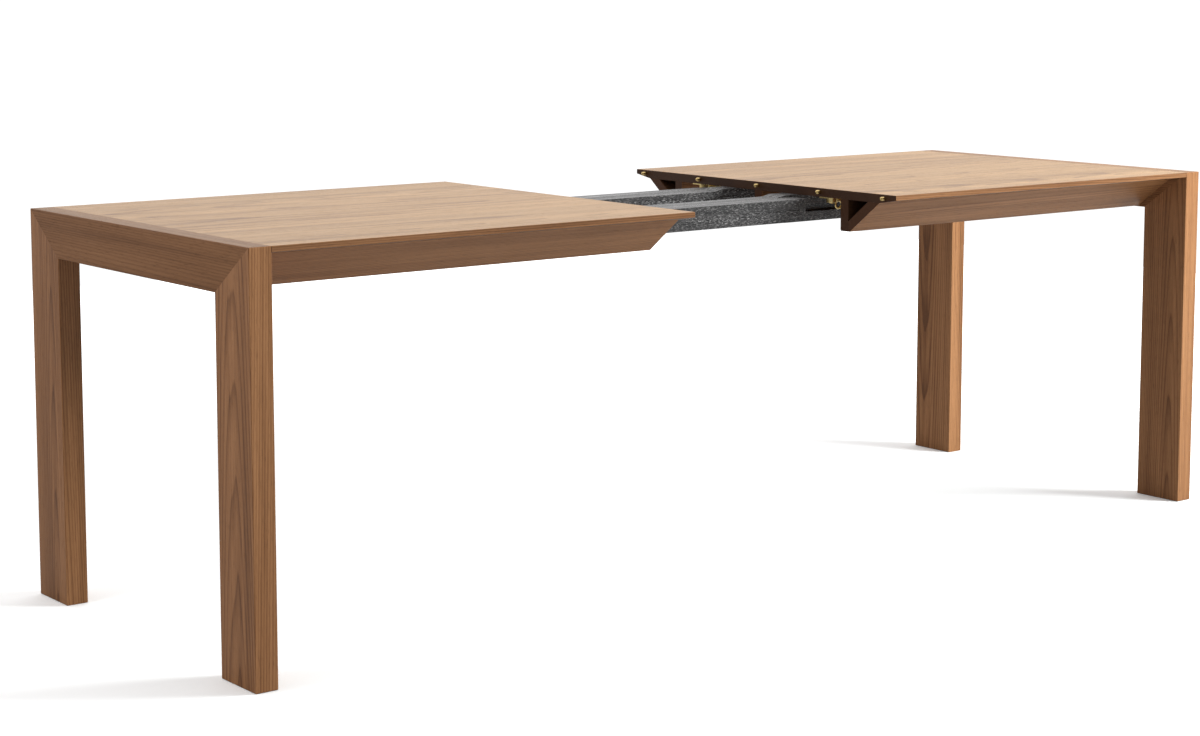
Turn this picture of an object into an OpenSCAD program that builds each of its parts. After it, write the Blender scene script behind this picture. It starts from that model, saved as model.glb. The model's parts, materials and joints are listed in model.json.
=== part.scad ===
// Extendable dining table: two halves on timber slides, drawn open for one leaf.
// Origin on the floor under the middle of the open table.
// +X runs along the table, +Y across it, +Z up. Millimetres.

/* [Table] */
// Height of the top above the floor
table_h = 740; // [710:1:770]
// Width of the top
table_w = 820; // [790:1:950]
// Length of one half with its end frame
half_l = 940; // [900:1:1100]
// Gap between the halves, which takes one leaf
leaf_gap = 520; // [480:1:540]

/* [End frames] */
// Thickness of the legs and the end rail, along the table
frame_t = 43; // [38:1:60]
// Width of a leg, across the table
leg_w = 115; // [100:1:130]
// Depth of an end rail
rail_h = 85; // [83:1:105]
// Small bevel along the outside edges
arris = 1; // [0.4:0.1:2]

/* [Top panels] */
// Thickness of a top panel
panel_t = 18; // [18:1:24]
// Height of the panel's visible side edge
edge_t = 10; // [8:1:12]
// Width of the bevel under the side edge
bevel_w = 47; // [40:1:55]
// Width of the lipping glued along a split edge
lipping_w = 17; // [17:0.5:20]

/* [Aprons] */
// Distance from the side edge to the foot of the sloped board
apron_foot_in = 131; // [125:1:140]
// Depth of the apron's foot below the top
apron_d = 83; // [80:1:83]
// Thickness of the sloped board
apron_t = 20; // [16:1:22]
// Thickness of the upright board behind it
apron_rail_t = 22; // [18:1:24]
// Thickness of the middle runner
runner_t = 22; // [18:1:28]
// Depth of the middle runner
runner_h = 40; // [36:1:44]

/* [Slides] */
// Width of one slide beam
beam_w = 46.5; // [44:0.5:47]
// Distance from the middle of the table to the inner beam
beam_in = 73; // [70:1:74]
// Gap between the two beams of a pair
beam_gap = 1; // [0.8:0.1:1.4]
// Depth of the running part of a beam
beam_h = 46; // [44:1:48]
// Drop of the running part below the panel
beam_drop = 5; // [4:1:7]
// Extra depth under the fixed part of a beam
beam_step = 7; // [4:1:8]
// How far a beam stops short of the other half
beam_short = 12; // [10:1:16]
// Length of a beam fixed under its own panel
beam_fixed = 820; // [800:1:840]
// Height of the tongue between the beams
tongue_h = 12; // [10:1:14]
// Extra travel past the leaf gap
over_travel = 80; // [60:1:90]

/* [Brass] */
// Radius of a leaf pin
pin_r = 4; // [3.5:0.1:4.2]
// How far a leaf pin stands out
pin_out = 12; // [11:0.5:13]
// Radial room between a leaf pin and its socket
pin_room = 0.2; // [0.1:0.05:0.3]
// Distance of the latches from the middle of the table
latch_y = 202; // [200:1:204]
// Reach of the latch hook from its pivot
latch_reach = 36; // [34:1:37]

/* [Hidden] */
$fn = 48;

WALNUT_TOP = "#c9a27c";
WALNUT = "#9a6b48";
WALNUT_DARK = "#5a3b2a";
BLACK_WOOD = "#4c4a4b";
BEECH = "#c8a676";
BRASS = "#c9a348";
STEEL = "#9b9c9e";

// One quarter of the table is drawn at +X, +Y and mirrored into the others.
half_w = table_w / 2;
split_x = leaf_gap / 2;
end_x = split_x + half_l;
frame_x = end_x - frame_t;
under_z = table_h - panel_t;
rail_z = table_h - rail_h;
leg_in = half_w - leg_w;
foot_z = table_h - apron_d;
apron_foot_w = 5;
apron_rail_y = half_w - apron_foot_in - apron_foot_w;
apron_back_y = apron_rail_y - apron_rail_t;
split_bevel = 0.5;
past = 1;

// Slides
beam_out_y = beam_in + beam_w + beam_gap;
run_top = under_z - beam_drop;
run_bottom = run_top - beam_h;
fixed_bottom = run_bottom - beam_step;
beam_tip = beam_short - split_x;
beam_end = split_x + beam_fixed;
step_out = [55, 35];
step_start = split_x - step_out[0];
step_end = split_x - step_out[1];
slide_room = 0.6;
tip_bevel = [26, 6];
groove_up = 19.5;
groove_mid = run_bottom + groove_up;
groove_room = 0.5;
groove_h = tongue_h + 2 * groove_room;
groove_d = 12.5;
groove_short = 80;
groove_end = beam_end - groove_short;
tongue_in = 11.5;
tongue_room = 1;
tongue_short = 24;
tongue_tip = tongue_short - split_x;
tongue_back = 150;
stop_l = 16;
stop_room = 1;

// Screws and dowels
screw_r = 2.2;
screw_hole_r = 2.5;
head_r = 4.8;
head_hole_r = 5.4;
head_h = 3.5;
screw_bite = 12;
beam_screw_x = [for (d = [70, 360, 650]) split_x + d];
beam_counterbore = 30;
runner_screw_x = [for (d = [80, 440, 800]) split_x + d];
dowel_r = 5;
dowel_l = 36;
dowel_room = 0.1;
mitre_at = [0.32, 0.7];
panel_dowel_r = 4;
panel_dowel_y = [-280, -140, 0, 140, 280];
panel_dowel_z = under_z + panel_t / 2;
block = 60;
block_top = under_z;
block_bottom = fixed_bottom;
block_screw_in = 18;
block_screw_z = [block_bottom + 24, block_bottom + 41];
block_seat = 20;

// Leaf pins and sockets
pin_y = [-378, -190, 0, 190, 378];
pin_z = table_h - 8;
pin_seat_r = 3.5;
pin_seat_l = lipping_w - 1;
socket_r = 5.5;
socket_l = lipping_w;
socket_d = 14;
socket_lead = 1;

// Latches
plate_t = 2.5;
plate_z = under_z - plate_t;
latch_in = 22;
latch_x = split_x + latch_in;
base_in = 1;
base_size = [62, 40];
base_corner = 6;
pivot_r = 3;
pivot_room = 0.06;
pivot_head_r = 5;
pivot_head_h = 1.6;
pivot_head_gap = 0.4;
pivot_tail_r = 2;
pivot_tail_room = 0.05;
hub_r = 11;
hub_h = 8.8;
hub_gap = 0.5;
hub_top = plate_z - hub_gap;
hub_bottom = hub_top - hub_h;
arm_w = 10;
arm_up = 1.8;
arm_bottom = hub_bottom + arm_up;
arm_t = 4;
hook_r = 8;
hook_slot = 3.4;
ring_at = 19;
ring_r = 8;
ring_wire = 2;
ring_bite = 0.5;
rest_gap = 0.5;
stud_x = split_x + latch_reach - latch_in - rest_gap;
stud_r = 2.5;
stud_head_r = 4;
stud_head_h = 1.6;
stud_z = arm_bottom - 1;
keeper_in = 2;
keeper_size = [30, 26];
keeper_corner = 4;
small_screw_r = 1.6;
small_hole_r = 1.75;
small_head_r = 3.3;
small_head_h = 1.2;
small_bite = 12;
base_screw_at = [for (side = [-12, 12]) [latch_x + 18, latch_y + side]];
keeper_screw_at = [for (side = [-9, 9]) [split_x + 25, latch_y + side]];

// Directions for a cylinder's axis
TO_X = [0, 90, 0];
TO_Y = [-90, 0, 0];
TO_Z = [0, 0, 0];

// ---- helpers -------------------------------------------------------------

module quarter(sx, sy)
  mirror([sx < 0 ? 1 : 0, 0, 0])
    mirror([0, sy < 0 ? 1 : 0, 0])
      children();

module both_sides()
  for (sy = [-1, 1])
    quarter(1, sy) children();

// Sections drawn in the plane across the named axis and pulled along it
module along_x(x0, x1)
  translate([x0, 0, 0]) rotate([90, 0, 90]) linear_extrude(x1 - x0) children();

module along_y(y0, y1)
  translate([0, y1, 0]) rotate([90, 0, 0]) linear_extrude(y1 - y0) children();

module along_z(z0, z1)
  translate([0, 0, z0]) linear_extrude(z1 - z0) children();

module bevelled(a, b, c)
  polygon([
    [a[0] + c, a[1]], [b[0] - c, a[1]], [b[0], a[1] + c], [b[0], b[1] - c],
    [b[0] - c, b[1]], [a[0] + c, b[1]], [a[0], b[1] - c], [a[0], a[1] + c]
  ]);

module rod(from, to_dir, r, l)
  translate(from) rotate(to_dir) cylinder(r = r, h = l);

// A screw with its head seat at the origin, pointing up
module screw(l, r, hr, hh) {
  cylinder(r = r, h = l);
  translate([0, 0, -hh]) cylinder(r = hr, h = hh);
}

module screw_hole(l, access) {
  cylinder(r = screw_hole_r, h = l);
  translate([0, 0, -access]) cylinder(r = head_hole_r, h = access);
}

// ---- end frame -----------------------------------------------------------

// The block that the end frame is cut from, with its outside edges eased
module frame_envelope() {
  intersection() {
    along_y(-half_w, half_w)
      polygon([
        [frame_x + arris, 0], [end_x - arris, 0], [end_x, arris], [end_x, table_h - arris],
        [end_x - arris, table_h], [frame_x, table_h], [frame_x, arris]
      ]);
    along_x(frame_x, end_x) bevelled([-half_w, 0], [half_w, table_h], arris);
    along_z(0, table_h) bevelled([frame_x, -half_w], [end_x, half_w], arris);
  }
}

// Places two dowels square across the mitre between a leg and the rail
module at_mitre()
  for (t = mitre_at)
    translate([(frame_x + end_x) / 2, half_w - t * leg_w, table_h - t * rail_h])
      rotate([atan2(-rail_h, -leg_w), 0, 0])
        children();

module mitre_holes()
  at_mitre()
    translate([0, 0, -dowel_l / 2 - 1])
      cylinder(r = dowel_r + dowel_room, h = dowel_l + 2);

module leg() {
  difference() {
    intersection() {
      frame_envelope();
      along_z(0, table_h) bevelled([frame_x, leg_in], [end_x, half_w], arris);
      along_x(frame_x, end_x)
        polygon([[leg_in, 0], [half_w, 0], [half_w, table_h], [leg_in, rail_z]]);
    }
    mitre_holes();
  }
}

module end_rail() {
  difference() {
    intersection() {
      frame_envelope();
      along_y(-half_w, half_w)
        polygon([
          [frame_x + arris, rail_z], [end_x - arris, rail_z], [end_x, rail_z + arris],
          [end_x, table_h], [frame_x, table_h], [frame_x, rail_z + arris]
        ]);
      along_x(frame_x, end_x)
        polygon([
          [-half_w, table_h], [-leg_in, rail_z], [leg_in, rail_z], [half_w, table_h]
        ]);
    }
    both_sides() mitre_holes();
    at_panel_dowels() panel_dowel_hole();
    both_sides() block_rail_screw() screw_hole(block_seat + screw_bite + past, past);
  }
}

module mitre_dowels()
  both_sides()
    at_mitre()
      translate([0, 0, -dowel_l / 2])
        cylinder(r = dowel_r, h = dowel_l);

// ---- top panel -----------------------------------------------------------

function panel_side() = [
  [half_w - arris, table_h], [half_w, table_h - arris], [half_w, table_h - edge_t],
  [half_w - bevel_w, under_z]
];

module panel_section()
  polygon(concat(panel_side(), [for (i = [3:-1:0]) [-panel_side()[i][0], panel_side()[i][1]]]));

module at_panel_dowels()
  for (y = panel_dowel_y)
    translate([frame_x, y, panel_dowel_z]) rotate(TO_X) children();

module panel_dowel_hole()
  translate([0, 0, -dowel_l / 2 - 1])
    cylinder(r = panel_dowel_r + dowel_room, h = dowel_l + 2);

module panel_dowels()
  at_panel_dowels()
    translate([0, 0, -dowel_l / 2])
      cylinder(r = panel_dowel_r, h = dowel_l);

// beam_y is the middle of this half's slide beam
module top_panel(beam_y) {
  difference() {
    along_x(split_x + lipping_w, frame_x) panel_section();
    at_panel_dowels() panel_dowel_hole();
    both_sides()
      for (x = beam_screw_x)
        rod([x, beam_y, under_z - past], TO_Z, screw_hole_r, screw_bite + past + 1);
    for (x = runner_screw_x)
      rod([x, 0, under_z - past], TO_Z, screw_hole_r, screw_bite + past + 1);
  }
}

// Strip that carries the panel on to the split, holding the leaf pins or sockets
module edge_lipping(hole_r, hole_l) {
  difference() {
    intersection() {
      along_x(split_x, split_x + lipping_w) panel_section();
      along_y(-half_w, half_w)
        polygon([
          [split_x + split_bevel, table_h], [split_x + lipping_w, table_h],
          [split_x + lipping_w, under_z], [split_x, under_z], [split_x, table_h - split_bevel]
        ]);
    }
    for (y = pin_y)
      rod([split_x - past, y, pin_z], TO_X, hole_r, hole_l + past);
  }
}

// ---- aprons, runner and corner blocks ------------------------------------

// Sloped board: outer face from the bevel down to the foot, thickness inwards
module apron_board() {
  top_y = half_w - bevel_w;
  foot_y = half_w - apron_foot_in;
  run = top_y - foot_y;
  fall = under_z - foot_z;
  slant = sqrt(run * run + fall * fall);
  back_top = top_y - apron_t * slant / fall;
  back_low = under_z - (back_top - apron_rail_y) * fall / run;
  along_x(split_x, frame_x)
    polygon([
      [top_y, under_z], [foot_y, foot_z], [apron_rail_y, foot_z],
      [apron_rail_y, back_low], [back_top, under_z]
    ]);
}

module apron_rail() {
  difference() {
    translate([split_x, apron_back_y, foot_z])
      cube([frame_x - split_x, apron_rail_t, under_z - foot_z]);
    block_apron_screw() screw_hole(block_seat + screw_bite + past, past);
  }
}

module middle_runner() {
  difference() {
    translate([split_x, -runner_t / 2, under_z - runner_h])
      cube([frame_x - split_x, runner_t, runner_h]);
    for (x = runner_screw_x)
      translate([x, 0, under_z - runner_h / 2])
        screw_hole(runner_h / 2 + past, runner_h / 2 + past);
  }
}

// Screws through a corner block: one into the end rail, one into the apron
module block_rail_screw()
  translate([frame_x - block_seat, apron_back_y - block_screw_in, block_screw_z[0]])
    rotate(TO_X) children();

module block_apron_screw()
  translate([frame_x - block_screw_in, apron_back_y - block_seat, block_screw_z[1]])
    rotate(TO_Y) children();

module corner_block() {
  difference() {
    along_z(block_bottom, block_top)
      polygon([
        [frame_x - block, apron_back_y], [frame_x, apron_back_y], [frame_x, apron_back_y - block]
      ]);
    block_rail_screw() screw_hole(block_seat + past, block);
    block_apron_screw() screw_hole(block_seat + past, block);
  }
}

module block_screws()
  both_sides() {
    block_rail_screw() screw(block_seat + screw_bite, screw_r, head_r, head_h);
    block_apron_screw() screw(block_seat + screw_bite, screw_r, head_r, head_h);
  }

// ---- slides --------------------------------------------------------------

// Side view of a beam: a thin running part and a deeper part under its own panel
module beam_section()
  polygon([
    [beam_tip, run_bottom], [step_start, run_bottom], [step_end, fixed_bottom],
    [beam_end, fixed_bottom], [beam_end, under_z], [split_x, under_z],
    [split_x, under_z - slide_room], [step_end, under_z - slide_room],
    [step_start, run_top], [beam_tip, run_top]
  ]);

// y0 is the beam's inner face
module beam_body(y0) {
  difference() {
    along_y(y0, y0 + beam_w) beam_section();
    for (x = beam_screw_x)
      translate([x, y0 + beam_w / 2, fixed_bottom + beam_counterbore])
        screw_hole(under_z - fixed_bottom, beam_counterbore + past);
  }
}

// Bevel that leads the free end of an outer beam past the other half
module tip_cut(y_face, side) {
  extra = past * tip_bevel[1] / tip_bevel[0];
  along_z(fixed_bottom, table_h)
    polygon([
      [beam_tip - past, y_face - side * (tip_bevel[1] + extra)],
      [beam_tip + tip_bevel[0] + past, y_face + side * extra],
      [beam_tip - past, y_face + side * tip_bevel[1]]
    ]);
}

module outer_beam() {
  difference() {
    beam_body(beam_out_y);
    tip_cut(beam_out_y + beam_w, 1);
    translate([tongue_tip, beam_out_y - past, groove_mid - tongue_h / 2])
      cube([tongue_back - tongue_tip, tongue_in + past, tongue_h]);
  }
}

module inner_beam() {
  difference() {
    beam_body(beam_in);
    tip_cut(beam_in, -1);
    translate([beam_tip - past, beam_in + beam_w - groove_d, groove_mid - groove_h / 2])
      cube([groove_end - beam_tip + past, groove_d + past, groove_h]);
  }
}

// Tongue strip housed in the outer beam, running in the inner beam's groove
module tongue() {
  tongue_w = tongue_in + beam_gap + groove_d - tongue_room;
  translate([tongue_tip, beam_out_y + tongue_in - tongue_w, groove_mid - tongue_h / 2])
    cube([tongue_back - tongue_tip, tongue_w, tongue_h]);
}

// Stop glued in the open end of the groove: the tongue meets it at full travel
module slide_stop() {
  stop_x = -tongue_back - over_travel - stop_room;
  translate([stop_x - stop_l, beam_in + beam_w - groove_d, groove_mid - groove_h / 2])
    cube([stop_l, groove_d, groove_h]);
}

module panel_screws(beam_y) {
  both_sides()
    for (x = beam_screw_x)
      translate([x, beam_y, fixed_bottom + beam_counterbore])
        screw(under_z - fixed_bottom - beam_counterbore + screw_bite, screw_r, head_r, head_h);
  for (x = runner_screw_x)
    translate([x, 0, under_z - runner_h / 2])
      screw(runner_h / 2 + screw_bite, screw_r, head_r, head_h);
}

// ---- brass fittings ------------------------------------------------------

module leaf_pins()
  for (y = pin_y) {
    rod([split_x, y, pin_z], TO_X, pin_seat_r, pin_seat_l);
    rod([split_x - pin_out + pin_r, y, pin_z], TO_X, pin_r, pin_out - pin_r);
    translate([split_x - pin_out + pin_r, y, pin_z]) sphere(r = pin_r);
  }

module leaf_sockets()
  for (y = pin_y)
    translate([split_x, y, pin_z])
      rotate(TO_X)
        difference() {
          cylinder(r = socket_r, h = socket_l);
          translate([0, 0, -past]) cylinder(r = pin_r + pin_room, h = socket_d + past);
          cylinder(r1 = pin_r + pin_room + socket_lead, r2 = pin_r + pin_room, h = socket_lead);
        }

module small_screw_holes(at)
  for (p = at)
    rod([p[0], p[1], plate_z - past], TO_Z, small_hole_r, plate_t + small_bite + past);

module small_screws(at)
  for (p = at)
    translate([p[0], p[1], plate_z])
      screw(plate_t + small_bite - 1, small_screw_r, small_head_r, small_head_h);

module latch_base() {
  difference() {
    along_z(plate_z, under_z)
      bevelled(
        [split_x + base_in, latch_y - base_size[1] / 2],
        [split_x + base_in + base_size[0], latch_y + base_size[1] / 2], base_corner);
    small_screw_holes(base_screw_at);
    rod([latch_x, latch_y, plate_z - past], TO_Z, pivot_tail_r + pivot_tail_room, plate_t + 2 * past);
  }
}

module latch_pivot()
  translate([latch_x, latch_y, 0]) {
    rod([0, 0, hub_bottom - pivot_head_gap - pivot_head_h], TO_Z, pivot_head_r, pivot_head_h);
    rod([0, 0, hub_bottom - past], TO_Z, pivot_r, plate_z - hub_bottom + past);
    rod([0, 0, plate_z - past], TO_Z, pivot_tail_r, plate_t + past / 2);
  }

// Swivel lever with a hook at its end and a finger ring under its arm
module latch_lever()
  translate([latch_x, latch_y, 0])
    difference() {
      union() {
        rod([0, 0, hub_bottom], TO_Z, hub_r, hub_top - hub_bottom);
        along_z(arm_bottom, arm_bottom + arm_t) {
          translate([0, -arm_w / 2]) square([latch_reach, arm_w]);
          translate([latch_reach, 0]) circle(r = hook_r);
        }
        translate([ring_at, 0, arm_bottom - ring_r + ring_bite])
          rotate(TO_Y)
            rotate_extrude()
              translate([ring_r, 0]) circle(r = ring_wire, $fn = 24);
      }
      rod([0, 0, hub_bottom - past], TO_Z, pivot_r + pivot_room, hub_top - hub_bottom + 2 * past);
      along_z(arm_bottom - past, arm_bottom + arm_t + past) {
        translate([latch_reach, 0]) circle(r = hook_slot);
        translate([latch_reach - hook_slot, 0]) square([2 * hook_slot, 2 * hook_r]);
      }
    }

module keeper() {
  difference() {
    union() {
      along_z(plate_z, under_z)
        bevelled(
          [split_x + keeper_in, latch_y - keeper_size[1] / 2],
          [split_x + keeper_in + keeper_size[0], latch_y + keeper_size[1] / 2], keeper_corner);
      rod([stud_x, latch_y, stud_z], TO_Z, stud_r, plate_z - stud_z + past);
      rod([stud_x, latch_y, stud_z - stud_head_h], TO_Z, stud_head_r, stud_head_h);
    }
    small_screw_holes(keeper_screw_at);
  }
}

// ---- sub-parts: left half ------------------------------------------------

module left_top_panel()
  color(WALNUT_TOP)
    quarter(-1, 1)
      difference() {
        top_panel(beam_out_y + beam_w / 2);
        both_sides() small_screw_holes(keeper_screw_at);
      }

module left_edge_lipping()
  color(WALNUT_TOP) quarter(-1, 1) edge_lipping(socket_r, lipping_w + past);

module left_near_leg() color(WALNUT) quarter(-1, -1) leg();
module left_far_leg() color(WALNUT) quarter(-1, 1) leg();
module left_end_rail() color(WALNUT) quarter(-1, 1) end_rail();
module left_near_apron_board() color(WALNUT) quarter(-1, -1) apron_board();
module left_far_apron_board() color(WALNUT) quarter(-1, 1) apron_board();
module left_near_apron_rail() color(WALNUT_DARK) quarter(-1, -1) apron_rail();
module left_far_apron_rail() color(WALNUT_DARK) quarter(-1, 1) apron_rail();
module left_middle_runner() color(WALNUT_DARK) quarter(-1, 1) middle_runner();
module left_near_slide() color(BLACK_WOOD) quarter(-1, -1) outer_beam();
module left_far_slide() color(BLACK_WOOD) quarter(-1, 1) outer_beam();
module left_near_tongue() color(BEECH) quarter(-1, -1) tongue();
module left_far_tongue() color(BEECH) quarter(-1, 1) tongue();
module left_near_corner_block() color(BEECH) quarter(-1, -1) corner_block();
module left_far_corner_block() color(BEECH) quarter(-1, 1) corner_block();
module left_mitre_dowels() color(BEECH) quarter(-1, 1) mitre_dowels();
module left_panel_dowels() color(BEECH) quarter(-1, 1) panel_dowels();
module left_panel_screws() color(STEEL) quarter(-1, 1) panel_screws(beam_out_y + beam_w / 2);
module left_block_screws() color(STEEL) quarter(-1, 1) block_screws();
module left_leaf_sockets() color(BRASS) quarter(-1, 1) leaf_sockets();
module left_near_keeper() color(BRASS) quarter(-1, -1) keeper();
module left_far_keeper() color(BRASS) quarter(-1, 1) keeper();
module left_keeper_screws() color(BRASS) quarter(-1, 1) both_sides() small_screws(keeper_screw_at);

// ---- sub-parts: right half -----------------------------------------------

module right_top_panel()
  color(WALNUT_TOP)
    difference() {
      top_panel(beam_in + beam_w / 2);
      both_sides() small_screw_holes(base_screw_at);
    }

module right_edge_lipping() color(WALNUT_TOP) edge_lipping(pin_seat_r, pin_seat_l);

module right_near_leg() color(WALNUT) quarter(1, -1) leg();
module right_far_leg() color(WALNUT) quarter(1, 1) leg();
module right_end_rail() color(WALNUT) end_rail();
module right_near_apron_board() color(WALNUT) quarter(1, -1) apron_board();
module right_far_apron_board() color(WALNUT) quarter(1, 1) apron_board();
module right_near_apron_rail() color(WALNUT_DARK) quarter(1, -1) apron_rail();
module right_far_apron_rail() color(WALNUT_DARK) quarter(1, 1) apron_rail();
module right_middle_runner() color(WALNUT_DARK) middle_runner();
module right_near_slide() color(BLACK_WOOD) quarter(1, -1) inner_beam();
module right_far_slide() color(BLACK_WOOD) quarter(1, 1) inner_beam();
module right_slide_stops() color(BEECH) both_sides() slide_stop();
module right_near_corner_block() color(BEECH) quarter(1, -1) corner_block();
module right_far_corner_block() color(BEECH) quarter(1, 1) corner_block();
module right_mitre_dowels() color(BEECH) mitre_dowels();
module right_panel_dowels() color(BEECH) panel_dowels();
module right_panel_screws() color(STEEL) panel_screws(beam_in + beam_w / 2);
module right_block_screws() color(STEEL) block_screws();
module right_leaf_pins() color(BRASS) leaf_pins();
module right_near_latch_base() color(BRASS) quarter(1, -1) latch_base();
module right_far_latch_base() color(BRASS) quarter(1, 1) latch_base();
module right_latch_screws() color(BRASS) both_sides() small_screws(base_screw_at);
module right_near_latch_pivot() color(BRASS) quarter(1, -1) latch_pivot();
module right_far_latch_pivot() color(BRASS) quarter(1, 1) latch_pivot();
module near_latch_lever() color(BRASS) quarter(1, -1) latch_lever();
module far_latch_lever() color(BRASS) quarter(1, 1) latch_lever();

left_top_panel();
left_edge_lipping();
left_near_leg();
left_far_leg();
left_end_rail();
left_near_apron_board();
left_far_apron_board();
left_near_apron_rail();
left_far_apron_rail();
left_middle_runner();
left_near_slide();
left_far_slide();
left_near_tongue();
left_far_tongue();
left_near_corner_block();
left_far_corner_block();
left_mitre_dowels();
left_panel_dowels();
left_panel_screws();
left_block_screws();
left_leaf_sockets();
left_near_keeper();
left_far_keeper();
left_keeper_screws();
right_top_panel();
right_edge_lipping();
right_near_leg();
right_far_leg();
right_end_rail();
right_near_apron_board();
right_far_apron_board();
right_near_apron_rail();
right_far_apron_rail();
right_middle_runner();
right_near_slide();
right_far_slide();
right_slide_stops();
right_near_corner_block();
right_far_corner_block();
right_mitre_dowels();
right_panel_dowels();
right_panel_screws();
right_block_screws();
right_leaf_pins();
right_near_latch_base();
right_far_latch_base();
right_latch_screws();
right_near_latch_pivot();
right_far_latch_pivot();
near_latch_lever();
far_latch_lever();
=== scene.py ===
"""Looks for the extendable dining table: oiled walnut, black-stained slides and brass fittings.

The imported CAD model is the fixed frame. Lengths are in metres, in the CAD model's own frame:
+X along the table, +Y across it, +Z up, with the floor at zero.
"""

import json
import math
import random

import bmesh
import bpy
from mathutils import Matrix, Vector


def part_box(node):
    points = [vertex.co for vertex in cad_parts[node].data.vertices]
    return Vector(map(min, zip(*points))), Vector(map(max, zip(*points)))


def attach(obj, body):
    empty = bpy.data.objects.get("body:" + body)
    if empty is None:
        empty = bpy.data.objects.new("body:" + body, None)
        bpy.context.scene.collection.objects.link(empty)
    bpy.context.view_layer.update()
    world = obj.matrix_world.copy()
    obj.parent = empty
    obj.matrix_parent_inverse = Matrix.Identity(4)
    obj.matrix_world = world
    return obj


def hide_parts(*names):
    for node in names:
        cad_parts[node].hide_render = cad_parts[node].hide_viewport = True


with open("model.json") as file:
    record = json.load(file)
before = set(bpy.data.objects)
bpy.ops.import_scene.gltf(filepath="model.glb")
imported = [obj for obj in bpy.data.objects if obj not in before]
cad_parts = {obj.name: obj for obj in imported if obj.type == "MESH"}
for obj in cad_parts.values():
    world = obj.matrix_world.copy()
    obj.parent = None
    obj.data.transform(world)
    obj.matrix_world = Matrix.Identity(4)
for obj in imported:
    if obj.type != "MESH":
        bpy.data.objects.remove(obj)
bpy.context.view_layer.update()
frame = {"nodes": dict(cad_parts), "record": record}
NODES = frame["nodes"]
BODY_OF = {n: b for b, ns in frame["record"]["behaviour"]["bodies"].items() for n in ns}
SLOT_OF = {p["node"]: p["material_slot"] for p in frame["record"]["subparts"]}

# ---- camera ----------------------------------------------------------------

CAMERA_AT = (-3.12, -3.80, 1.185)
CAMERA_YAW = -37.88
CAMERA_PITCH = -6.59
CAMERA_LENS = 72.3
CAMERA_SHIFT = -0.10


def make_camera():
    data = bpy.data.cameras.new("camera")
    data.sensor_width = 36
    data.lens = CAMERA_LENS
    data.shift_y = CAMERA_SHIFT
    cam = bpy.data.objects.new("camera", data)
    cam.location = CAMERA_AT
    cam.rotation_euler = (math.radians(90 + CAMERA_PITCH), 0, math.radians(CAMERA_YAW))
    bpy.context.scene.collection.objects.link(cam)
    bpy.context.scene.camera = cam


# ---- shader graphs ---------------------------------------------------------

NOISE_MIDDLE = (0.5, 0.5, 0.5)

# How far from the origin, in metres, a piece's figure may be taken from
APART = 4


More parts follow.
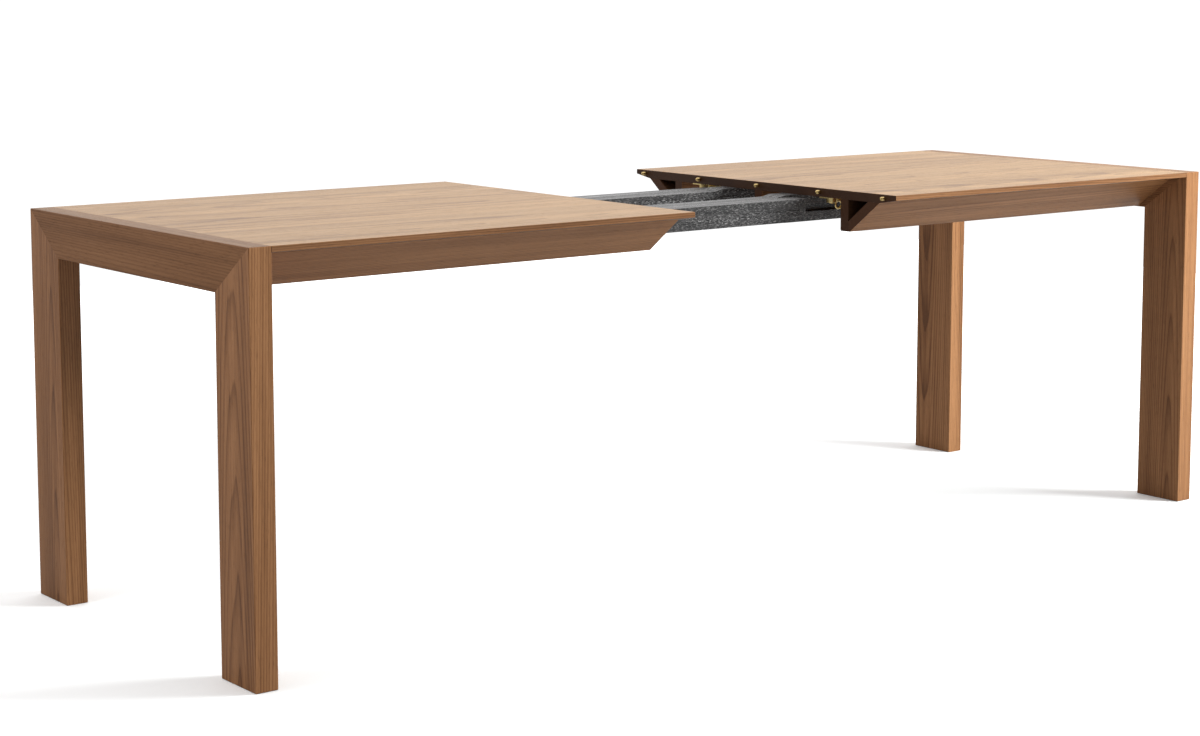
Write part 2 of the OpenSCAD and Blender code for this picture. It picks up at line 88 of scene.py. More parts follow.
class Graph:
    """A material's node tree, with short calls for the nodes used here."""

    def __init__(self, name):
        self.material = bpy.data.materials.new(name)
        self.material.use_nodes = True
        self.tree = self.material.node_tree
        self.tree.nodes.clear()
        out = self.tree.nodes.new("ShaderNodeOutputMaterial")
        self.shader = self.tree.nodes.new("ShaderNodeBsdfPrincipled")
        self.tree.links.new(self.shader.outputs["BSDF"], out.inputs["Surface"])

    def put(self, socket, value):
        if isinstance(value, bpy.types.NodeSocket):
            self.tree.links.new(value, socket)
        else:
            socket.default_value = value

    def math(self, operation, a, b=0.0, c=0.0, clamp=False):
        node = self.tree.nodes.new("ShaderNodeMath")
        node.operation = operation
        node.use_clamp = clamp
        for socket, value in zip(node.inputs, (a, b, c)):
            self.put(socket, value)
        return node.outputs[0]

    def vector(self, operation, a, b):
        node = self.tree.nodes.new("ShaderNodeVectorMath")
        node.operation = operation
        self.put(node.inputs[0], a)
        self.put(node.inputs[1], b)
        return node.outputs[0]

    def combine(self, x, y, z):
        node = self.tree.nodes.new("ShaderNodeCombineXYZ")
        for socket, value in zip(node.inputs, (x, y, z)):
            self.put(socket, value)
        return node.outputs[0]

    def separate(self, vector):
        node = self.tree.nodes.new("ShaderNodeSeparateXYZ")
        self.put(node.inputs[0], vector)
        return node.outputs

    def object_point(self, normal=False):
        node = self.tree.nodes.new("ShaderNodeTexCoord")
        return node.outputs["Normal" if normal else "Object"]

    def noise(self, vector, stretch, detail=2.0, roughness=0.5, colour=False):
        node = self.tree.nodes.new("ShaderNodeTexNoise")
        node.inputs["Scale"].default_value = 1.0
        node.inputs["Detail"].default_value = detail
        node.inputs["Roughness"].default_value = roughness
        self.put(node.inputs["Vector"], self.vector("MULTIPLY", vector, stretch))
        return node.outputs["Color" if colour else "Fac"]

    def random_of(self, value):
        node = self.tree.nodes.new("ShaderNodeTexWhiteNoise")
        node.noise_dimensions = "1D"
        self.put(node.inputs["W"], value)
        return node.outputs["Value"], node.outputs["Color"]

    def ramp(self, value, stops):
        """stops are (position, grey level or colour)."""
        node = self.tree.nodes.new("ShaderNodeValToRGB")
        elements = node.color_ramp.elements
        while len(elements) < len(stops):
            elements.new(0.5)
        for element, (at, level) in zip(elements, stops):
            element.position = at
            rgb = (level, level, level) if isinstance(level, (int, float)) else level
            element.color = (*rgb, 1)
        self.put(node.inputs[0], value)
        return node.outputs[0]

    def mix(self, factor, a, b, blend="MIX"):
        node = self.tree.nodes.new("ShaderNodeMix")
        node.data_type = "RGBA"
        node.blend_type = blend
        self.put(node.inputs["Factor"], factor)
        colours = [socket for socket in node.inputs if socket.type == "RGBA"]
        for socket, value in zip(colours, (a, b)):
            self.put(socket, (*value, 1) if isinstance(value, tuple) else value)
        return next(socket for socket in node.outputs if socket.type == "RGBA")

    def scatter(self, point, rng):
        """point moved by a random amount, so that no two pieces share their figure."""
        return self.vector("ADD", point, tuple(rng.uniform(-APART, APART) for _ in range(3)))

    def bump(self, height, distance, strength):
        node = self.tree.nodes.new("ShaderNodeBump")
        node.inputs["Strength"].default_value = strength
        node.inputs["Distance"].default_value = distance
        self.put(node.inputs["Height"], height)
        self.put(self.shader.inputs["Normal"], node.outputs["Normal"])

    def set(self, **values):
        for name, value in values.items():
            self.put(self.shader.inputs[name.replace("_", " ").title()], value)


# ---- timber ----------------------------------------------------------------

# Which way the grain runs in each kind of board, where it doesn't run along X
GRAIN = {"end_rail": "Y", "leg": "Z", "corner_block": "Z", "mitre_dowels": "Z"}

# How finely each layer of the figure repeats, in cycles per metre along and across the grain
RING_BEND = (0.7, 6.0, 6.0)
RING_UNEVEN = (0.5, 22.0, 22.0)
BROAD_BANDS = (0.7, 14.0, 14.0)
STREAKS = (1.1, 75.0, 75.0)
FIBRES = (9.0, 520.0, 520.0)
PORES = (48.0, 1150.0, 1150.0)

RING_SPACING = 0.0042
RING_WANDER = 0.01
RING_SLIP = 2.2
ONE_YEAR = [(0.0, 0.15), (0.45, 0.0), (0.78, 0.55), (0.93, 1.0), (1.0, 0.15)]

# What each layer adds to how dark the wood is
RING_SHARE = 0.36
STREAK_SHARE = 0.34
BAND_SHARE = 0.30
FIBRE_SHARE = 0.16
# End-grain faces darken partly for the end grain itself and partly as painted shade
END_GRAIN_AND_SHADE_SHARE = 0.55

# Linear colours of the lightest, middling and darkest wood, and where each lies on that scale
SOLID = ((0.445, 0.210, 0.092), (0.325, 0.146, 0.061), (0.17, 0.071, 0.029))
# Paler colours for upward faces: painted light from above; on the panel's top also its paler
# veneer
VENEER_AND_TOP_LIGHT = ((0.49, 0.286, 0.132), (0.39, 0.221, 0.098), (0.24, 0.123, 0.053))
SPREAD = (0.22, 0.50, 0.85)
# Near-black of the hollow apron's inner faces: painted shade
HOLLOW_SHADE = (0.045, 0.021, 0.012)
PORE_COLOUR = (0.045, 0.022, 0.012)
# Darkening of end-grain faces: the end grain's own darkness and painted shade
END_GRAIN_AND_SHADE_TINT = (0.42, 0.40, 0.42)
EDGE_TINT = (0.70, 0.70, 0.70)
STAVE_CONTRAST = 0.14
# How far the upward faces of boards other than the panel take the paler colours: painted light
# from above
UPPER_TOP_LIGHT = 0.4
SATIN = 0.42
OILED = 0.2
PORE_DEPTH = 0.00012

TURNED_AWAY = [(0.75, 0.0), (0.95, 1.0)]


def grain_of(node):
    return next((axis for kind, axis in GRAIN.items() if node.endswith(kind)), "X")


def along_grain(g, axis):
    """Object coordinates turned so that the first one runs along the grain."""
    x, y, z = g.separate(g.object_point())
    order = {"X": (x, y, z), "Y": (y, x, z), "Z": (z, x, y)}[axis]
    return g.combine(*order)


def end_grain(g, axis):
    """1 where the surface cuts across the grain."""
    x, y, z = g.separate(g.object_point(normal=True))
    along = {"X": x, "Y": y, "Z": z}[axis]
    return g.ramp(g.math("ABSOLUTE", along), TURNED_AWAY)


def growth_rings(g, point, local, pith, tilt):
    """Year rings round a pith line that lies off the board and is slightly tilted to it.

    local is measured from the middle of the board or stave, point from somewhere in the log.
    """
    warp = g.noise(point, RING_BEND, 0.5, 0.4, colour=True)
    warp = g.vector("SUBTRACT", warp, NOISE_MIDDLE)
    warp = g.vector("MULTIPLY", warp, (0, RING_WANDER, RING_WANDER))
    u, v, w = g.separate(g.vector("ADD", local, warp))
    v = g.math("ADD", g.math("MULTIPLY", u, tilt[0]), g.math("SUBTRACT", v, pith[0]))
    w = g.math("ADD", g.math("MULTIPLY", u, tilt[1]), g.math("SUBTRACT", w, pith[1]))
    radius = g.math("SQRT", g.math("ADD", g.math("MULTIPLY", v, v), g.math("MULTIPLY", w, w)))
    uneven = g.math("MULTIPLY", g.noise(point, RING_UNEVEN, 2.0), RING_SLIP)
    phase = g.math("MULTIPLY_ADD", radius, 1.0 / RING_SPACING, uneven)
    return g.ramp(g.math("FRACT", phase), ONE_YEAR)


def toss(rng):
    """1 or -1."""
    return rng.choice((-1, 1))


def board_pith(rng, axis):
    """Where the pith lies beside a board and how it leans, as (across, through) pairs.

    Upright boards are sawn so that the arched figure shows on their wide faces, other boards so
    that it shows on their narrow ones.
    """
    if axis == "Z":
        pith = (toss(rng) * rng.uniform(0.05, 0.10), toss(rng) * rng.uniform(0.0, 0.03))
        return pith, (toss(rng) * rng.uniform(0.02, 0.04), rng.uniform(-0.01, 0.01))
    pith = (toss(rng) * rng.uniform(0.0, 0.05), toss(rng) * rng.uniform(0.05, 0.12))
    return pith, (rng.uniform(-0.015, 0.015), rng.uniform(-0.05, 0.05))


def stave_pith(g, dice):
    """The same for the staves of a panel, from a random colour of each stave."""
    a, b, c = g.separate(dice)
    pith = (g.math("MULTIPLY_ADD", a, 0.10, -0.05), g.math("MULTIPLY_ADD", b, 0.10, 0.05))
    return pith, (0.0, g.math("MULTIPLY_ADD", c, 0.06, -0.03))


def walnut(node, log, stave=0.0, tone=1.0, contrast=1.0, shine=OILED, hollow=0):
    """Oiled walnut. log names the node whose figure the board shares, or the board itself.

    stave is the width of the strips that a wide panel is glued from; its upper face is veneered in
    paler wood, and every board's upward faces are painted paler, as light from above. hollow is
    the sign of Y that the inner faces of a hollow apron look towards; they are painted near-black,
    as the shade inside it.
    """
    rng = random.Random(log)
    axis = grain_of(node)
    g = Graph("walnut_" + node)
    point = along_grain(g, axis)
    shade = tone * rng.uniform(0.97, 1.03)
    low, high = (Vector(corner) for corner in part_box(log))
    turn = {"X": (0, 1, 2), "Y": (1, 0, 2), "Z": (2, 0, 1)}[axis]
    middle = (low + high) / 2
    local = g.vector("SUBTRACT", point, tuple(middle[k] for k in turn))
    if stave:
        across = g.math("MULTIPLY_ADD", g.separate(point)[1], 1.0 / stave, rng.uniform(0, 1))
        pick, dice = g.random_of(g.math("ADD", g.math("FLOOR", across), rng.uniform(3, 90)))
        point = g.vector("ADD", point, g.vector("MULTIPLY", dice, (7.0, 3.0, 3.0)))
        shade = g.math("MULTIPLY_ADD", pick, STAVE_CONTRAST, shade - STAVE_CONTRAST / 2)
        in_stave = g.math("MULTIPLY", g.math("SUBTRACT", g.math("FRACT", across), 0.5), stave)
        u, v, w = g.separate(local)
        local = g.combine(u, in_stave, w)
        pith, tilt = stave_pith(g, dice)
    else:
        pith, tilt = board_pith(rng, axis)
    point = g.scatter(point, rng)

    bands = g.ramp(g.noise(point, BROAD_BANDS, 2.0, 0.5), [(0.32, 0.0), (0.7, 1.0)])
    streaks = g.ramp(g.noise(point, STREAKS, 3.0, 0.55), [(0.3, 0.0), (0.72, 1.0)])
    fibre = g.noise(point, FIBRES, 2.0, 0.6)
    cut = end_grain(g, axis)
    depth = g.math("MULTIPLY", growth_rings(g, point, local, pith, tilt), RING_SHARE)
    depth = g.math("MULTIPLY_ADD", streaks, STREAK_SHARE, depth)
    depth = g.math("MULTIPLY_ADD", bands, BAND_SHARE, depth)
    depth = g.math("MULTIPLY_ADD", g.ramp(fibre, [(0.35, 0.0), (0.7, 1.0)]), FIBRE_SHARE, depth)
    depth = g.math("MULTIPLY_ADD", cut, END_GRAIN_AND_SHADE_SHARE, depth, clamp=True)

    spread = [0.5 + (at - 0.5) / contrast for at in SPREAD]
    colour = g.ramp(depth, list(zip(spread, SOLID)))
    if stave:
        colour = g.mix(1.0, colour, EDGE_TINT, "MULTIPLY")
    _, outward, upward = g.separate(g.object_point(normal=True))
    # Upward faces take the paler colours: painted light from above, and on a panel also its paler
    # veneer
    veneer_and_top_light = g.ramp(depth, list(zip(spread, VENEER_AND_TOP_LIGHT)))
    top_light = g.ramp(upward, [(0.75, 0.0), (0.95, 1.0 if stave else UPPER_TOP_LIGHT)])
    colour = g.mix(top_light, colour, veneer_and_top_light)
    # Each board's random tone, times its tone argument, which carries the painted shade of darker
    # boards
    colour = g.mix(1.0, colour, g.combine(shade, shade, shade), "MULTIPLY")
    # End-grain faces darker: the end grain's own darkness, and painted shade
    colour = g.mix(cut, colour, END_GRAIN_AND_SHADE_TINT, "MULTIPLY")
    # Inner faces of a hollow apron are painted near-black, as the shade inside it
    if hollow:
        inner_shade = g.ramp(g.math("MULTIPLY", outward, hollow), [(0.3, 0.0), (0.6, 0.85)])
        colour = g.mix(inner_shade, colour, HOLLOW_SHADE)

    pore = g.ramp(g.noise(point, PORES, 1.0, 0.5), [(0.60, 0.0), (0.70, 1.0)])
    colour = g.mix(g.math("MULTIPLY", pore, 0.35), colour, PORE_COLOUR)
    rough = g.math("MULTIPLY_ADD", fibre, 0.14, SATIN - 0.07)
    rough = g.math("MULTIPLY_ADD", pore, 0.12, rough)
    g.set(base_color=colour, roughness=rough)
    g.shader.inputs["Specular IOR Level"].default_value = shine
    g.bump(g.math("MULTIPLY_ADD", pore, -1.0, g.math("MULTIPLY", fibre, 0.35)), PORE_DEPTH, 0.6)
    return g.material


# ---- black stain and beech -------------------------------------------------

FLECKS = (150.0, 1100.0, 1100.0)
FLECK_BANDS = (5.0, 70.0, 70.0)
STAIN_CLOUDS = (9.0, 160.0, 160.0)
GLOSS_STRIPES = (0.8, 210.0, 210.0)
GRAIN_WAVES = (14.0, 60.0, 60.0)
WAVE_REACH = (0.010, 0.008, 0.008)
FLECK_DEPTH = 0.0002
FLECK_COLOUR = (0.48, 0.455, 0.445)
STAIN_DARK = (0.020, 0.019, 0.019)
STAIN_LIGHT = (0.052, 0.048, 0.048)

BEECH_GRAIN = (6.0, 240.0, 240.0)
BEECH_RAYS = (90.0, 900.0, 500.0)
BEECH_PALE = (0.56, 0.37, 0.21)
BEECH_DEEP = (0.44, 0.27, 0.14)
BEECH_RAY = (0.28, 0.15, 0.07)
BEECH_DEPTH = 0.0001


def black_stain(node):
    """Black-stained open-grain hardwood with pale grain flecks, satin lacquer."""
    rng = random.Random(node)
    g = Graph("black_stain_" + node)
    point = g.scatter(along_grain(g, "X"), rng)
    wave = g.vector("SUBTRACT", g.noise(point, GRAIN_WAVES, 2.0, 0.5, colour=True), NOISE_MIDDLE)
    wavy = g.vector("ADD", point, g.vector("MULTIPLY", wave, WAVE_REACH))
    fleck = g.ramp(g.noise(wavy, FLECKS, 1.0, 0.6), [(0.55, 0.0), (0.68, 1.0)])
    band = g.ramp(g.noise(wavy, FLECK_BANDS, 2.0, 0.5), [(0.35, 0.45), (0.6, 1.0)])
    fleck = g.math("MULTIPLY", fleck, band)
    ground = g.ramp(g.noise(wavy, STAIN_CLOUDS, 3.0, 0.6), [(0.3, STAIN_DARK), (0.7, STAIN_LIGHT)])
    colour = g.mix(g.math("MULTIPLY", fleck, 0.85), ground, FLECK_COLOUR)
    stripe = g.ramp(g.noise(point, GLOSS_STRIPES, 1.0, 0.5), [(0.42, 1.0), (0.60, 0.0)])
    rough = g.math("MULTIPLY_ADD", fleck, 0.15, g.math("MULTIPLY_ADD", stripe, 0.34, 0.24))
    g.set(base_color=colour, roughness=rough)
    g.bump(g.math("MULTIPLY", fleck, -1.0), FLECK_DEPTH, 0.5)
    return g.material


def beech(node):
    """Bare beech: pale, close grain with short brown rays."""
    rng = random.Random(node)
    g = Graph("beech_" + node)
    point = g.scatter(along_grain(g, grain_of(node)), rng)
    grain = g.noise(point, BEECH_GRAIN, 3.0, 0.6)
    ray = g.ramp(g.noise(point, BEECH_RAYS, 1.0), [(0.62, 0.0), (0.7, 1.0)])
    colour = g.ramp(grain, [(0.3, BEECH_PALE), (0.7, BEECH_DEEP)])
    colour = g.mix(g.math("MULTIPLY", ray, 0.5), colour, BEECH_RAY)
    g.set(base_color=colour, roughness=g.math("MULTIPLY_ADD", grain, 0.2, 0.5))
    g.bump(grain, BEECH_DEPTH, 0.4)
    return g.material


# ---- metal -----------------------------------------------------------------

PATCHES = (90.0, 90.0, 90.0)
DRAWN = (300.0, 900.0, 900.0)
PLATED = (600.0, 600.0, 600.0)
MARK_DEPTH = 0.00004


def metal(name, bright, dull, roughness, drawn):
    """Metal with duller patches and faint marks. drawn is how the marks are stretched."""
    g = Graph(name)
    point = g.object_point()
    patch = g.noise(point, PATCHES, 3.0, 0.6)
    marks = g.noise(point, drawn, 2.0, 0.6)
    colour = g.mix(g.ramp(patch, [(0.42, 0.0), (0.72, 0.75)]), bright, dull)
    rough = g.math("MULTIPLY_ADD", patch, 0.16, roughness - 0.08)
    rough = g.math("MULTIPLY_ADD", marks, 0.10, g.math("SUBTRACT", rough, 0.05))
    g.set(base_color=colour, roughness=rough, metallic=1.0)
    g.bump(marks, MARK_DEPTH, 0.35)
    return g.material


# ---- pieces made from the CAD shapes ---------------------------------------

WELD = 1e-6

# Angles between faces, in degrees: merged up to the first, eased from the second
FLAT_WITHIN = 1
SHARP_FROM = 28

# Edges below these angles are shaded as smooth
EASED_SMOOTH = 35
SCREW_SMOOTH = 40

EASE_WOOD = 0.0008
EASE_BRASS = 0.00035
CAST_GRAIN = 0.0004
CAST_ROUNDS = 6
CAST_KEPT = 0.35


def show(name, mesh, material=None):
    """A new object with the mesh, in the scene."""
    piece = bpy.data.objects.new(name, mesh)
    bpy.context.scene.collection.objects.link(piece)
    if material:
        mesh.materials.clear()
        mesh.materials.append(material)
    return piece


def baked(piece):
    """The piece's mesh with its modifiers applied."""
    graph = bpy.context.evaluated_depsgraph_get()
    return bpy.data.meshes.new_from_object(piece.evaluated_get(graph))


def mesh_from(bm, name):
    mesh = bpy.data.meshes.new(name)
    bm.to_mesh(mesh)
    bm.free()
    return mesh


def welded(node):
    """The CAD node's triangles with their shared corners joined."""
    bm = bmesh.new()
    bm.from_mesh(NODES[node].data)
    bmesh.ops.remove_doubles(bm, verts=bm.verts, dist=WELD)
    return bm


def stand_in(piece, node):
    """Shows the piece in the CAD node's place, on the same body."""
    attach(piece, BODY_OF[node])
    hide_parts(node)


def settle_normals(piece):
    """Bakes normals weighted by face area, so that flat faces stay flat beside rounded edges."""
    weigh = piece.modifiers.new("weigh", "WEIGHTED_NORMAL")
    weigh.keep_sharp = True
    settled = baked(piece)
    piece.modifiers.clear()
    piece.data = settled


def smooth_by_angle(bm, degrees):
    for face in bm.faces:
        face.smooth = True
    for edge in bm.edges:
        edge.smooth = len(edge.link_faces) == 2 and edge.calc_face_angle() < math.radians(degrees)


def eased(node, width, material):
    """A copy of a CAD node with its sharp edges rounded off."""
    bm = welded(node)
    bmesh.ops.dissolve_limit(
        bm, angle_limit=math.radians(FLAT_WITHIN), use_dissolve_boundaries=False,
        verts=bm.verts, edges=bm.edges,
    )
    bend = math.radians(SHARP_FROM)
    sharp = [e for e in bm.edges if len(e.link_faces) == 2 and e.calc_face_angle() > bend]
    bmesh.ops.bevel(
        bm, geom=sharp, offset=width, offset_type="OFFSET", segments=2, profile=0.5,
        affect="EDGES", clamp_overlap=True,
    )
    bmesh.ops.triangulate(bm, faces=[f for f in bm.faces if len(f.verts) > 4])
    smooth_by_angle(bm, EASED_SMOOTH)
    piece = show(node + "_eased", mesh_from(bm, node + "_eased"), material)
    settle_normals(piece)
    stand_in(piece, node)


def cast(node, material):
    """A CAD fitting with every edge softly rounded, as if cast and polished."""
    piece = show(node + "_cast", NODES[node].data.copy())
    remesh = piece.modifiers.new("remesh", "REMESH")
    remesh.mode = "VOXEL"
    remesh.voxel_size = CAST_GRAIN
    smooth = piece.modifiers.new("smooth", "SMOOTH")
    smooth.factor = 0.5
    smooth.iterations = CAST_ROUNDS
    thin = piece.modifiers.new("thin", "DECIMATE")
    thin.ratio = CAST_KEPT
    mesh = baked(piece)
    piece.modifiers.clear()
    piece.data = mesh
    mesh.materials.clear()
    mesh.materials.append(material)
    mesh.polygons.foreach_set("use_smooth", [True] * len(mesh.polygons))
    stand_in(piece, node)


def dress(node, material):
    """Gives a CAD node that stays in view its material."""
    data = NODES[node].data
    data.materials.clear()
    data.materials.append(material)


# ---- screws ----------------------------------------------------------------

TURN_STEPS = 40

# A screw head from crown to rim: (share of its radius, share of its height)
HEAD_CURVE = [(0.0, 0.10), (0.55, 0.12), (0.86, 0.32), (1.0, 0.72), (1.0, 1.0)]
SHANK_SHARE = 0.47

# The bar that cuts a slot: its length and width as shares of the head's radius, and its height,
# half of which is in the head, as a share of the head's height
SLOT_LONG = 1.15
SLOT_WIDE = 0.24
SLOT_DEEP = 1.3
SLOT_ROUNDING = 0.12

# How near a vertex lies to a screw's axis, in radii, and to its end, to count as part of the end
NEAR_AXIS = 1.1
NEAR_END = 1e-5


def solids_of(node):
    """The corners of each separate solid in a CAD node, as (low, high)."""
    bm = welded(node)
    seen, found = set(), []
    for start in bm.verts:
        if start in seen:
            continue
        stack, island = [start], []
        seen.add(start)
        while stack:
            vert = stack.pop()
            island.append(vert.co.copy())
            near = [edge.other_vert(vert) for edge in vert.link_edges]
            fresh = [other for other in near if other not in seen]
            seen.update(fresh)
            stack.extend(fresh)
        low, high = (Vector([pick(c[i] for c in island) for i in range(3)]) for pick in (min, max))
        found.append((low, high))
    bm.free()
    return found


def lathe(bm, at, axis, profile):
    """Turns (radius, distance along the axis) points round a line through at."""
    turn = Vector((0, 0, 1)).rotation_difference(axis).to_matrix()
    angles = [2 * math.pi * k / TURN_STEPS for k in range(TURN_STEPS)]
    rings = []
    for radius, along in profile:
        if radius == 0:
            rings.append([bm.verts.new(at + turn @ Vector((0, 0, along)))])
            continue
        circle = [Vector((radius * math.cos(a), radius * math.sin(a), along)) for a in angles]
        rings.append([bm.verts.new(at + turn @ point) for point in circle])
    for low, high in zip(rings, rings[1:]):
        for k in range(TURN_STEPS):
            nxt = (k + 1) % TURN_STEPS
            if len(low) == 1:
                bm.faces.new((low[0], high[nxt], high[k]))
            elif len(high) == 1:
                bm.faces.new((low[k], low[nxt], high[0]))
            else:
                bm.faces.new((low[k], low[nxt], high[nxt], high[k]))


def end_with_head(node, i, ends, middle, radius):
    """Which end of a screw along axis i is as wide as its head."""
    reach = {end: 0.0 for end in ends}
    for vert in NODES[node].data.vertices:
        away = math.hypot(*(vert.co[k] - middle[k] for k in range(3) if k != i))
        for end in ends:
            if away < radius * NEAR_AXIS and abs(vert.co[i] - end) < NEAR_END:
                reach[end] = max(reach[end], away)
    return max(ends, key=lambda end: reach[end])


def slot_tool(at, i, across, head, radius):
    """A rounded bar through the top of a screw head, for cutting one slot."""
    bm = bmesh.new()
    bmesh.ops.create_cube(bm, size=1.0)
    bmesh.ops.bevel(bm, geom=list(bm.edges), offset=SLOT_ROUNDING, segments=2, affect="EDGES")
    spans = Vector((SLOT_WIDE, SLOT_WIDE, SLOT_WIDE)) * radius
    spans[i] = head * SLOT_DEEP
    spans[across] = radius * SLOT_LONG
    bmesh.ops.scale(bm, vec=spans, verts=bm.verts)
    bmesh.ops.translate(bm, vec=at, verts=bm.verts)
    return show("cutter", mesh_from(bm, "cutter"))


def cross_screw(node, low, high, head_share):
    """The mesh of one screw with a domed head and crossed slots, between two corners."""
    size = high - low
    i = max(range(3), key=lambda k: size[k])
    middle = (low + high) / 2
    length, radius = size[i], min(size) / 2
    head, shank = length * head_share, radius * SHANK_SHARE
    ends = [low[i], high[i]]
    at = middle.copy()
    at[i] = end_with_head(node, i, ends, middle, radius)
    axis = Vector((0, 0, 0))
    axis[i] = 1.0 if at[i] == ends[0] else -1.0

    bm = bmesh.new()
    dome = [(radius * out, head * down) for out, down in HEAD_CURVE]
    lathe(bm, at, axis, dome + [(shank, head), (shank, length - shank), (0, length)])
    bm.normal_update()
    bmesh.ops.recalc_face_normals(bm, faces=bm.faces)
    body = show(node + "_screw", mesh_from(bm, node))
    tools = [slot_tool(at, i, (i + step) % 3, head, radius) for step in (1, 2)]
    for tool in tools:
        carve = body.modifiers.new("slot", "BOOLEAN")
        carve.operation = "DIFFERENCE"
        carve.object = tool
    done = baked(body)
    for helper in (*tools, body):
        bpy.data.objects.remove(helper)
    return done


def cross_screws(node, material, head_share):
    """Cross-slot screws in place of a CAD node's plain ones.

    head_share is the head's part of a screw's length.
    """
    bm = bmesh.new()
    for low, high in solids_of(node):
        screw = cross_screw(node, low, high, head_share)
        bm.from_mesh(screw)
        bpy.data.meshes.remove(screw)
    smooth_by_angle(bm, SCREW_SMOOTH)
    stand_in(show(node + "_cut", mesh_from(bm, node + "_cut"), material), node)


# ---- every node's look -----------------------------------------------------

STAVE = 0.104
PANEL_CONTRAST = 1.2
PANEL_SHINE = 0.25

# Boards painted darker than the rest of the walnut, as shade that falls on them; boards that are
# duller, or show their figure less or more
BOARD_SHADE = {"left_end_rail": 0.67, "right_end_rail": 0.80, "left_near_leg": 0.95, "left_far_leg": 0.88}
SHINE = {"left_end_rail": 0.12, "right_end_rail": 0.12}
CONTRAST = {"left_end_rail": 0.65, "right_far_leg": 1.3}
# Boards inside the frame are painted darker, as the shade under the top
INNER_SHADE = 0.8

# The head's part of each kind of screw
BRASS_HEAD = 0.09
STEEL_HEAD = {"panel": 0.07, "block": 0.1}


def dress_all():
    """Gives each node a material, and an eased, cast or slotted stand-in where it needs one."""
    brass = metal("brass", (1.0, 0.80, 0.38), (0.80, 0.56, 0.21), 0.30, DRAWN)
    # The pins and sockets take a darker copy of the brass: painted shade on the split ends
    shaded_brass = metal("shaded_brass", (0.80, 0.58, 0.25), (0.50, 0.34, 0.12), 0.26, DRAWN)
    steel = metal("steel", (0.62, 0.62, 0.63), (0.42, 0.42, 0.43), 0.32, PLATED)
    for name in NODES:
        side, kind = name.split("_")[:2]
        slot = SLOT_OF[name]
        if slot == "walnut_top":
            log = side + "_top_panel"
            look = {"contrast": PANEL_CONTRAST, "shine": PANEL_SHINE}
            dress(name, walnut(name, log, stave=STAVE, **look))
        elif slot in ("walnut_leg", "walnut_end_rail"):
            # Darker boards take painted shade through their tone
            look = {"tone": BOARD_SHADE.get(name, 1.0), "contrast": CONTRAST.get(name, 1.0)}
            dress(name, walnut(name, name, shine=SHINE.get(name, OILED), **look))
        elif slot == "walnut_apron":
            eased(name, EASE_WOOD, walnut(name, name, hollow=1 if kind == "near" else -1))
        elif slot == "walnut_inner":
            hollow = {"near": -1, "far": 1}.get(kind, 0)
            # Inner boards painted darker, as shade under the top
            dress(name, walnut(name, name, tone=INNER_SHADE, hollow=hollow))
        elif slot == "black_stained_wood":
            eased(name, EASE_WOOD, black_stain(name))
        elif slot == "beech":
            dress(name, beech(name))
        elif slot == "steel":
            cross_screws(name, steel, STEEL_HEAD[kind])
        elif name.endswith("screws"):
            cross_screws(name, brass, BRASS_HEAD)
        elif name.endswith("lever"):
            cast(name, brass)
        elif name.endswith(("sockets", "pins")):
            # Darker brass, as painted shade on the split ends
            dress(name, shaded_brass)
        else:
            eased(name, EASE_BRASS, brass)


# ---- studio ----------------------------------------------------------------

FLOOR_SIZE = 9.0
FLOOR_DROP = 0.0005

# The floor's brightness to the camera and to everything else
FLOOR_SEEN = 1.0
FLOOR_FELT = 0.40

# The floor's own glow near the table and far from it, and the distances between which it grows
FLOOR_GLOW = 0.13
FLOOR_FADE = 1.0
FLOOR_INNER = 1.6
FLOOR_OUTER = 4.2

BACKDROP = 1.1
WHITE = (1, 1, 1, 1)

# The sky's brightness, from the direction opposite BRIGHT_SIDE to BRIGHT_SIDE itself
BRIGHT_SIDE = (0.55, 0.70, 0.90)
SKY = [(0.0, 0.05), (0.5, 0.26), (0.72, 0.52), (0.92, 0.88), (1.0, 1.0)]
SKY_STRENGTH = 1.36

KEY_AT = (3.3, -2.7, 2.2)
KEY_AIM = (0.8, -0.2, 0.4)
KEY_SIZE = 1.6
KEY_POWER = 288
KEY_COLOUR = (0.93, 0.99, 1.0)
FILL_AT = (-3.7, 0.3, 1.9)
FILL_AIM = (-1.0, -0.1, 0.5)
FILL_SIZE = 1.5
FILL_POWER = 26
FILL_COLOUR = (1, 1, 1)


def adder(tree):
    """A function that adds a node to tree and fills its inputs, given as (index, source)."""
    def add(kind, *inputs, operation=None):
        node = tree.nodes.new("ShaderNode" + kind)
        if operation:
            node.operation = operation
        for index, source in inputs:
            if isinstance(source, bpy.types.NodeSocket):
                tree.links.new(source, node.inputs[index])
            else:
                node.inputs[index].default_value = source
        return node
    return add


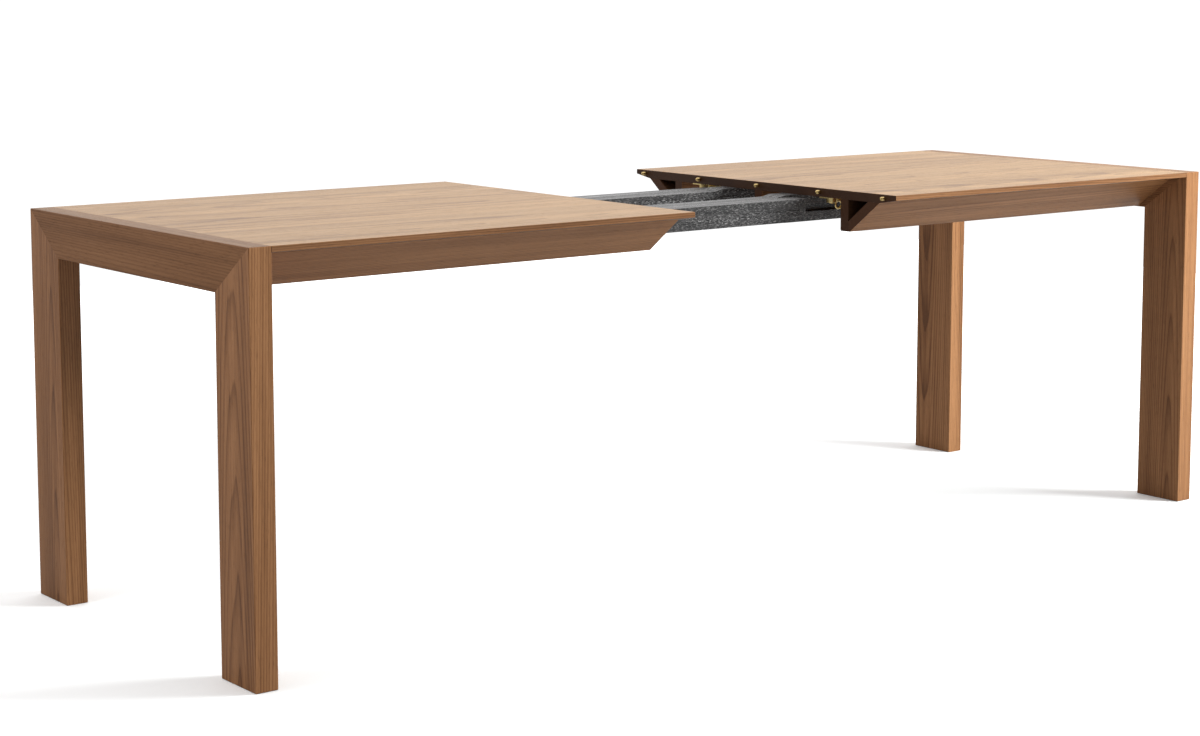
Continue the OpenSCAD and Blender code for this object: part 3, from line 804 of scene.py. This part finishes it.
def make_floor():
    """A pale floor. It looks brighter to the camera than it lights the table's underside."""
    bpy.ops.mesh.primitive_plane_add(size=FLOOR_SIZE, location=(0, 0, -FLOOR_DROP))
    floor = bpy.context.object
    floor.name = "floor"
    material = bpy.data.materials.new("pale_floor")
    material.use_nodes = True
    tree = material.node_tree
    shader = tree.nodes["Principled BSDF"]
    shader.inputs["Roughness"].default_value = 1.0
    shader.inputs["Specular IOR Level"].default_value = 0.0
    shader.inputs["Emission Color"].default_value = WHITE

    add = adder(tree)
    seen = add("LightPath").outputs["Is Camera Ray"]
    tone = add("MapRange", (0, seen), (3, FLOOR_FELT), (4, FLOOR_SEEN))
    centre = add("TexCoord").outputs["Object"]
    away = add("VectorMath", (0, centre), operation="LENGTH").outputs["Value"]
    glow = add(
        "MapRange", (0, away), (1, FLOOR_INNER), (2, FLOOR_OUTER), (3, FLOOR_GLOW), (4, FLOOR_FADE)
    )
    shown = add("Math", (0, glow.outputs[0]), (1, seen), operation="MULTIPLY")
    tree.links.new(tone.outputs[0], shader.inputs["Base Color"])
    tree.links.new(shown.outputs[0], shader.inputs["Emission Strength"])
    floor.data.materials.append(material)


def make_world():
    """A white backdrop, and a sky that is brightest overhead and behind the table."""
    world = bpy.data.worlds.new("studio")
    bpy.context.scene.world = world
    world.use_nodes = True
    tree = world.node_tree
    tree.nodes.clear()

    add = adder(tree)
    way = add("TexCoord").outputs["Generated"]
    bright_side = Vector(BRIGHT_SIDE).normalized()
    lean = add("VectorMath", (0, way), (1, bright_side), operation="DOT_PRODUCT").outputs["Value"]
    share = add("Math", (0, lean), (1, 0.5), (2, 0.5), operation="MULTIPLY_ADD")
    ramp = add("ValToRGB", (0, share.outputs[0]))
    elements = ramp.color_ramp.elements
    while len(elements) < len(SKY):
        elements.new(0.5)
    for element, (at, level) in zip(elements, SKY):
        element.position = at
        element.color = (level, level, level, 1)
    sky = add("Background", (0, ramp.outputs[0]), (1, SKY_STRENGTH))
    backdrop = add("Background", (0, WHITE), (1, BACKDROP))
    seen = add("LightPath").outputs["Is Camera Ray"]
    both = add("MixShader", (0, seen), (1, sky.outputs[0]), (2, backdrop.outputs[0]))
    add("OutputWorld", (0, both.outputs[0]))


def area_light(name, at, aim, size, power, colour):
    """A square light. Glossy surfaces don't mirror it, so it leaves no glare on the top."""
    data = bpy.data.lights.new(name, "AREA")
    data.size = size
    data.energy = power
    data.color = colour
    light = bpy.data.objects.new(name, data)
    light.visible_glossy = False
    light.location = at
    light.rotation_euler = (Vector(aim) - Vector(at)).to_track_quat("-Z", "Y").to_euler()
    bpy.context.scene.collection.objects.link(light)


make_camera()
dress_all()
make_floor()
make_world()
area_light("key", KEY_AT, KEY_AIM, KEY_SIZE, KEY_POWER, KEY_COLOUR)
area_light("fill", FILL_AT, FILL_AIM, FILL_SIZE, FILL_POWER, FILL_COLOUR)

bpy.context.scene.view_settings.view_transform = "Standard"
